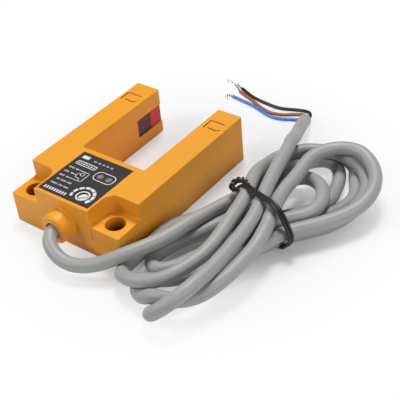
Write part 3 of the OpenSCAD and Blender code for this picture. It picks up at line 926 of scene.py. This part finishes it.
def white_print(width, height):
    """Bright print in millimetres: gauge, frames, wiring lines and plain blocks."""
    trimmer = TRIMMER / MM
    gauge_outer = 4.9
    block_angles = np.linspace(198, -23, 8)
    grids = []
    for number, angle in enumerate(block_angles):
        inner = 3.9 - 0.06 * number
        half = 12.2 + 0.25 * number
        grids.append(sector(trimmer, inner, gauge_outer, angle - half, angle + half, height))
    lamps = (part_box("power_indicator")[0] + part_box("output_indicator")[1]) / 2 / MM
    lamp_frame = rounded_outline(lamps, 8.8, 4.9, 2, 64)
    plate_frame = rounded_outline((-5.4, -14.1), 9.2, 2, 0.5, 40)
    grids += [ribbon(outline, width, height, loop=True) for outline in (lamp_frame, plate_frame)]
    wiring = (
        [(-7, -17.7), (-0.6, -17.7), (-0.6, -23), (-7, -23)],
        [(-7, -20.4), (-4.6, -20.4), (-4.6, -19.2), (-3.4, -19.2)],
        [(-4.6, -20.4), (-4.6, -21.6), (-2.2, -21.6), (-2.2, -23)],
        [(-3.4, -20), (-3.4, -18.5), (-2, -18.5), (-2, -20), (-3.4, -20)],
    )
    for line in wiring:
        grids += polyline(np.array(line), width * 0.8, height)
    for terminal in ((-7, -17.7), (-7, -20.4), (-7, -23)):
        grids.append(sector(terminal, 0.01, 0.42, 0, 360, height))
    # Middles of a row's blocks, half a block's width, the row's place along the body, and its depth
    rows = (
        (np.linspace(-10.2, -0.6, 9), 0.38, -31, 1.5),
        (np.linspace(-9, -1.8, 7), 0.3, -14.1, 0.9),
        ([-8.7], 1.7, -10.5, 1.8),
    )
    for middles, half, y, depth in rows:
        grids += [bar(x - half, x + half, y, depth, height) for x in middles]
    return grids


def pale_print(height):
    """Dim print in millimetres: short bars in rows."""
    depth = 0.85
    rows = (
        (-25.4, ((-9.9, -8.3), (-7.9, -5.2), (-4.7, -2.6))),
        (-28, ((-10.4, -7.2), (-6.7, -4.7), (-4.2, -1.8))),
        (-17.7, ((-10.8, -8),)),
        (-20.4, ((-10.8, -8.4),)),
        (-23, ((-10.8, -8.2),)),
        (-10.9, ((-4.6, -3.2), (-2.4, -1.2), (-0.4, 0.8), (1.6, 2.8), (3.6, 4.8))),
    )
    return [bar(left, right, y, depth, height) for y, bars in rows for left, right in bars]


def add_label(settings):
    """Label film with its generic print, a thin layer of ink."""
    dress(printed_film("label_film", settings.film), "label")
    lift = 0.012
    height = LABEL_HIGH.z / MM + lift
    prints = (
        ("white_print", white_print(settings.line_width / MM, height), settings.ink),
        ("pale_print", pale_print(height), settings.pale_ink),
    )
    for name, grids, colour in prints:
        grids = [grid._replace(points=grid.points * MM) for grid in grids]
        piece = new_piece(name, grids, ink(name + "_ink", colour))
        add_modifier(piece, "SOLIDIFY", thickness=lift * MM, offset=-1)


def add_floor(settings):
    """Wide pale floor that shows a painted white glow to the camera, thinner in ellipses near the part."""
    half = 2.5
    drop = 0.02 * MM
    corners = [(x * half, y * half, -drop) for x, y in ((-1, -1), (1, -1), (1, 1), (-1, 1))]
    mesh = bpy.data.meshes.new("floor")
    mesh.from_pydata(corners, [], [(0, 1, 2, 3)])
    floor = linked_object("floor", mesh)
    finish = Finish("pale_floor", specular=0.1)
    finish.shader.inputs["Roughness"].default_value = 0.9
    finish.feed("Base Color", finish.tones(finish.noise(30), settings.floor, 0.985, 1))
    # Painted light: the floor glows white for rays that show the background, less so near the part
    glow = finish.node("ShaderNodeEmission", {}, {"Color": (1, 1, 1, 1), "Strength": 1.0})
    seen = background_rays(finish)
    for shadow in GLOW_THINNING:
        seen = seen * painted_glow_share(finish, *shadow)
    plain = Value(finish, finish.shader.outputs[0])
    mixed = finish.node("ShaderNodeMixShader", {}, {0: seen, 1: plain, 2: glow})
    finish.tree.links.new(mixed.socket, finish.tree.nodes["Material Output"].inputs["Surface"])
    mesh.materials.append(finish.material)


def painted_glow_share(finish, middle, half_axes, turn, least):
    """Share of the floor's painted white glow: least in the middle of a turned ellipse, all from its edge
    on.
    """
    inside = finish.node("ShaderNodeMapping", {"vector_type": "TEXTURE"}, {
        "Vector": finish.place, "Location": (*middle, 0), "Rotation": (0, 0, np.radians(turn)),
        "Scale": (*half_axes, 1),
    })
    core, edge = 0.3, 1.0
    return finish.ramp(finish.distance(inside, (0, 0, 0)), core, edge, least, 1.0, "SMOOTHSTEP")


def background_rays(finish):
    """One for rays that show the background: from the camera, off gloss or through glass."""
    rays = finish.node("ShaderNodeLightPath", {}, {}, "Is Camera Ray")
    for name in ("Is Glossy Ray", "Is Transmission Ray"):
        rays = rays.maths("MAXIMUM", finish.node("ShaderNodeLightPath", {}, {}, name))
    return rays


def add_lamp(name, place, size, power):
    """A square soft lamp at a place, turned to the part."""
    lamp = bpy.data.lights.new(name, "AREA")
    lamp.size = size
    lamp.energy = power
    holder = linked_object(name, lamp)
    holder.location = place
    holder.rotation_euler = (Vector(LAMP_TARGET) - Vector(place)).to_track_quat("-Z", "Y").to_euler()


def add_camera():
    """Camera at the picture's view: turned about its target, then moved back."""
    view = bpy.data.cameras.new("photo_view")
    view.lens = CAMERA_LENS
    view.clip_start = 0.01
    camera = linked_object("photo_view", view)
    place = Matrix.Translation(Vector(CAMERA_TARGET) * MM)
    for angle, axis in ((CAMERA_AZIMUTH, "Z"), (90 - CAMERA_ELEVATION, "X"), (CAMERA_ROLL, "Z")):
        place = place @ Matrix.Rotation(np.radians(angle), 4, axis)
    camera.matrix_world = place @ Matrix.Translation((0, 0, CAMERA_DISTANCE * MM))
    bpy.context.scene.camera = camera


class FORK_OT_stage(bpy.types.Operator):
    """Adds the camera, the lamps and the floor."""

    bl_idname = "fork_sensor.stage"
    bl_label = "Stage"

    def execute(self, context):
        settings = context.scene.fork_sensor.stage
        context.scene.view_settings.view_transform = "Standard"
        add_camera()
        for name, (place, size) in LAMPS.items():
            add_lamp(name + "_lamp", place, size, getattr(settings, name + "_power"))
        add_floor(settings)
        return {"FINISHED"}


class FORK_OT_cable(bpy.types.Operator):
    """Adds the cable with its tie and its three wires."""

    bl_idname = "fork_sensor.cable"
    bl_label = "Cable"

    def execute(self, context):
        settings = context.scene.fork_sensor.cable
        jacket, path = add_cable(settings)
        tie = add_tie(settings, path)
        add_wires(settings, unit(path[-1] - path[-4]))
        return {"FINISHED"}


class FORK_OT_housing(bpy.types.Operator):
    """Adds the moulded housing and finishes its cover."""

    bl_idname = "fork_sensor.housing"
    bl_label = "Housing"

    def execute(self, context):
        add_housing(context.scene.fork_sensor.housing)
        return {"FINISHED"}


class FORK_OT_label(bpy.types.Operator):
    """Finishes the label, its print, the trimmer and the indicators."""

    bl_idname = "fork_sensor.label"
    bl_label = "Label and controls"

    def execute(self, context):
        add_label(context.scene.fork_sensor.housing)
        dress(moulded_plastic("trimmer_rotor_plastic", linear(240, 236, 222), 0.36), "trimmer_rotor")
        # The trimmer's body has painted shade in its bore
        collar = collar_plastic("trimmer_body_plastic", (TRIMMER.x, TRIMMER.y, 0), bore=2.2 * MM)
        dress(collar, "trimmer_body")
        for name in ("power_indicator", "output_indicator"):
            low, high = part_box(name)
            top_middle = (*((low + high) / 2).xy, high.z)
            dress(lens(name + "_lens", linear(134, 131, 132), top_middle), name)
        return {"FINISHED"}


class FORK_OT_windows(bpy.types.Operator):
    """Finishes the two red windows in the arms."""

    bl_idname = "fork_sensor.windows"
    bl_label = "Windows"

    def execute(self, context):
        low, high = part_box("receiver_window")
        # The painted reflection of the facing arm spares this share of each window at the tip
        unreflected_length = 0.4 * (high.y - low.y)
        dress(window_plastic("red_filter", high.y - unreflected_length), "emitter_window", "receiver_window")
        return {"FINISHED"}


class FORK_OT_inside(bpy.types.Operator):
    """Finishes what the housing hides: boards, diodes, leads and the cable's inner end."""

    bl_idname = "fork_sensor.inside"
    bl_label = "Inside"

    def execute(self, context):
        black = moulded_plastic("black_moulding", linear(34, 34, 36), 0.5, 0.18)
        dress(black, "emitter_holder", "receiver_holder")
        dress(black, "amplifier_chip", "output_transistor", "protection_diode")
        dress(clear_resin("emitter_resin", linear(150, 168, 196)), "emitter_diode")
        dress(clear_resin("receiver_resin", linear(58, 44, 60)), "receiver_diode")
        dress(circuit_board("green_board"), "main_board", "emitter_board", "receiver_board")
        red = moulded_plastic("lead_insulation", linear(176, 44, 40), 0.4, 0.14)
        dress(red, "emitter_leads", "receiver_leads")
        dress(metal("can_metal", linear(190, 192, 196)), "filter_capacitor", "cable_ferrule")
        dress(moulded_plastic("core_insulation", linear(150, 84, 60), 0.42, 0.16), "inner_cores")
        return {"FINISHED"}


OPERATORS = (FORK_OT_stage, FORK_OT_cable, FORK_OT_housing, FORK_OT_label, FORK_OT_windows, FORK_OT_inside)


class FORK_PT_panel(bpy.types.Panel):
    """Lists the steps and the sizes and colours that may be changed."""

    bl_idname = "FORK_PT_panel"
    bl_label = "Fork Sensor"
    bl_space_type = "VIEW_3D"
    bl_region_type = "UI"
    bl_category = "Fork Sensor"

    def draw(self, context):
        for operator in OPERATORS:
            self.layout.operator(operator.bl_idname)
        for group in ("housing", "cable", "stage"):
            settings = getattr(context.scene.fork_sensor, group)
            column = self.layout.column()
            for name in settings.__annotations__:
                column.prop(settings, name)


CLASSES = (HousingSettings, CableSettings, StageSettings, SensorSettings, *OPERATORS, FORK_PT_panel)


def register():
    """Registers the classes and the scene's settings."""
    for made in CLASSES:
        bpy.utils.register_class(made)
    bpy.types.Scene.fork_sensor = PointerProperty(type=SensorSettings)


def unregister():
    """Removes the settings and the classes."""
    del bpy.types.Scene.fork_sensor
    for made in reversed(CLASSES):
        bpy.utils.unregister_class(made)


def main():
    """Builds the whole part."""
    register()
    bpy.ops.fork_sensor.stage()
    bpy.ops.fork_sensor.cable()
    bpy.ops.fork_sensor.housing()
    bpy.ops.fork_sensor.label()
    bpy.ops.fork_sensor.windows()
    bpy.ops.fork_sensor.inside()


if __name__ == "__main__":
    main()
